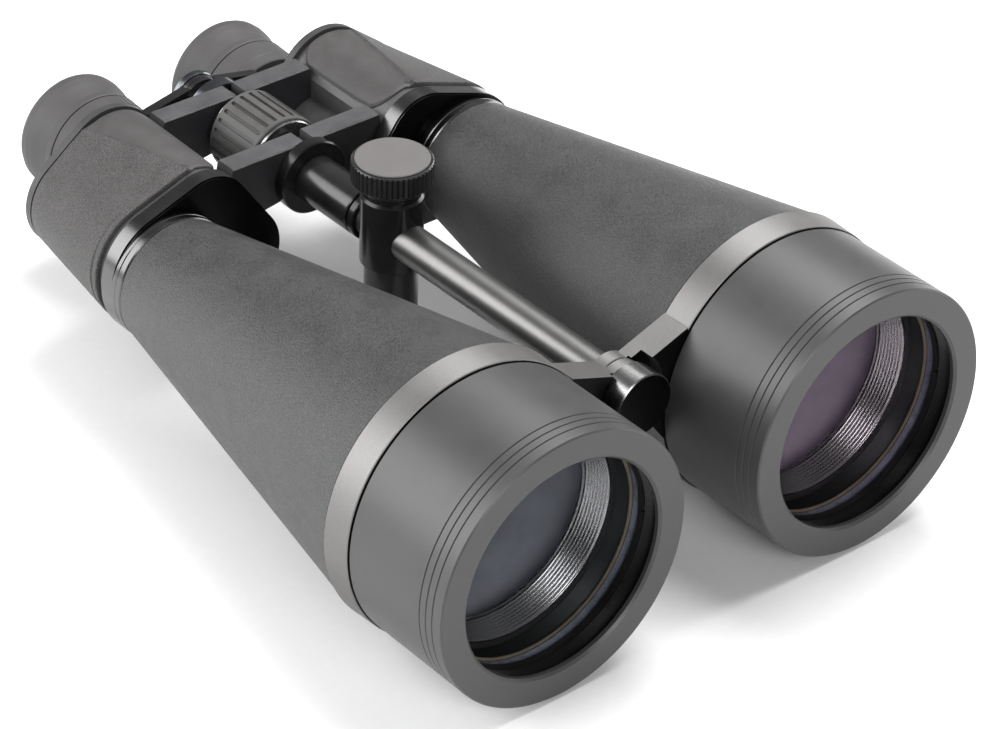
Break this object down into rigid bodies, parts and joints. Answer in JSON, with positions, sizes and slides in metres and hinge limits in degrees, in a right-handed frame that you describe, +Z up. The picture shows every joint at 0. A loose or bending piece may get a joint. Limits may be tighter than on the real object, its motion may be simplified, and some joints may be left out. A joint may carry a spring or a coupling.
{
  "type": "astronomy binoculars",
  "caption": "Large centre-focus astronomy binoculars with tapering barrels, Porro prism housings, folding hinges and a sliding tripod post.",
  "frame": {"origin": "on the ground under the middle of the body: midway between the barrels and midway along the length, at the height of the bands' lowest line and the post's foot", "axes": "+X to the user's right, +Y forward out of the objectives, +Z up"},
  "size_m": [0.2342, 0.322, 0.1022],
  "materials": {
    "satin_black": "satin black anodised",
    "barrel_paint": "matt black powder coat",
    "polished_black": "polished black anodised",
    "inner_aluminium": "matt",
    "knob_face": "matt",
    "steel": "turned bright",
    "spring_steel": "bright",
    "brass_ring": "matt",
    "black_ring": "black anodised",
    "lens_glass": "coated",
    "prism_glass": "ground edges",
    "armour_rubber": "fine grained",
    "grip_rubber": "matt",
    "eyecup_rubber": "matt"
  },
  "bodies": {
    "centre": {"centre_rod": "polished_black", "front_hinge_cap": "polished_black", "stop_ring": "polished_black", "rear_sleeve": "polished_black", "hinge_collar": "satin_black", "hinge_axle": "steel", "rear_collar": "polished_black"},
    "right_half": {"right_objective_cell": "satin_black", "right_front_lens_element": "lens_glass", "right_rear_lens_element": "lens_glass", "right_lens_spacer": "brass_ring", "right_lens_retaining_ring": "black_ring", "right_hinge_band": "satin_black", "right_barrel": "barrel_paint", "right_front_plate": "polished_black", "right_prism_housing": "satin_black", "right_armour": "armour_rubber", "right_front_prism": "prism_glass", "right_rear_prism": "prism_glass", "right_prism_shelf": "inner_aluminium", "right_prism_clips": "spring_steel", "right_rear_cover": "satin_black"},
    "left_half": {"left_objective_cell": "satin_black", "left_front_lens_element": "lens_glass", "left_rear_lens_element": "lens_glass", "left_lens_spacer": "brass_ring", "left_lens_retaining_ring": "black_ring", "left_hinge_band": "satin_black", "left_barrel": "barrel_paint", "left_front_plate": "polished_black", "left_prism_housing": "satin_black", "left_armour": "armour_rubber", "left_front_prism": "prism_glass", "left_rear_prism": "prism_glass", "left_prism_shelf": "inner_aluminium", "left_prism_clips": "spring_steel", "left_rear_cover": "satin_black"},
    "focus_wheel": {"focus_wheel": "steel", "focus_grip": "grip_rubber"},
    "focus_spindle": {"focus_spindle": "steel", "drive_pin": "steel", "spindle_cap": "steel"},
    "right_eyepiece": {"right_eyepiece_tube": "satin_black", "right_field_lens": "lens_glass", "right_field_stop": "black_ring", "right_eye_lens": "lens_glass", "right_eyepiece_shell": "armour_rubber", "right_bridge_arm": "satin_black", "right_eyecup": "eyecup_rubber"},
    "left_eyepiece": {"left_eyepiece_tube": "satin_black", "left_field_lens": "lens_glass", "left_field_stop": "black_ring", "left_eye_lens": "lens_glass", "left_eyepiece_shell": "armour_rubber", "left_bridge_arm": "satin_black", "left_eyecup": "eyecup_rubber"},
    "dioptre_ring": {"right_dioptre_ring": "grip_rubber"},
    "tripod_post": {"tripod_post": "polished_black"},
    "clamp_knob": {"clamp_knob": "satin_black", "knob_disc": "knob_face"}
  },
  "joints": [
    {"name": "right_half_hinge", "type": "hinge", "parent": "centre", "child": "right_half", "pos_m": [0, 0, 0.0649], "axis": [0, 1, 0], "range_deg": [-8, 14]},
    {"name": "left_half_hinge", "type": "hinge", "parent": "centre", "child": "left_half", "pos_m": [0, 0, 0.0649], "axis": [0, 1, 0], "range_deg": [-14, 8]},
    {"name": "focus_turn", "type": "hinge", "parent": "centre", "child": "focus_wheel", "pos_m": [0, -0.0858, 0.0649], "axis": [0, 1, 0], "range_deg": [-181, 181]},
    {"name": "spindle_slide", "type": "slide", "parent": "centre", "child": "focus_spindle", "axis": [0, 1, 0], "range_m": [-0.005, 0.005]},
    {"name": "right_eyepiece_slide", "type": "slide", "parent": "right_half", "child": "right_eyepiece", "axis": [0, 1, 0], "range_m": [-0.0051, 0.0051]},
    {"name": "left_eyepiece_slide", "type": "slide", "parent": "left_half", "child": "left_eyepiece", "axis": [0, 1, 0], "range_m": [-0.0051, 0.0051]},
    {"name": "dioptre_turn", "type": "hinge", "parent": "right_eyepiece", "child": "dioptre_ring", "pos_m": [0.0337, -0.1316, 0.0476], "axis": [0, 1, 0], "range_deg": [-40, 40]},
    {"name": "post_slide", "type": "slide", "parent": "centre", "child": "tripod_post", "axis": [0, 1, 0], "range_m": [0, 0.087]},
    {"name": "knob_turn", "type": "hinge", "parent": "tripod_post", "child": "clamp_knob", "pos_m": [0, -0.0117, 0.088], "axis": [0, 0, 1], "range_deg": [0, 360]}
  ],
  "couplings": [
    {"joint": "left_half_hinge", "follows": "right_half_hinge", "ratio": -1},
    {"joint": "focus_turn", "follows": "spindle_slide", "rad_per_m": 628.32},
    {"joint": "right_eyepiece_slide", "follows": "spindle_slide", "ratio": 1},
    {"joint": "left_eyepiece_slide", "follows": "spindle_slide", "ratio": 1}
  ]
}
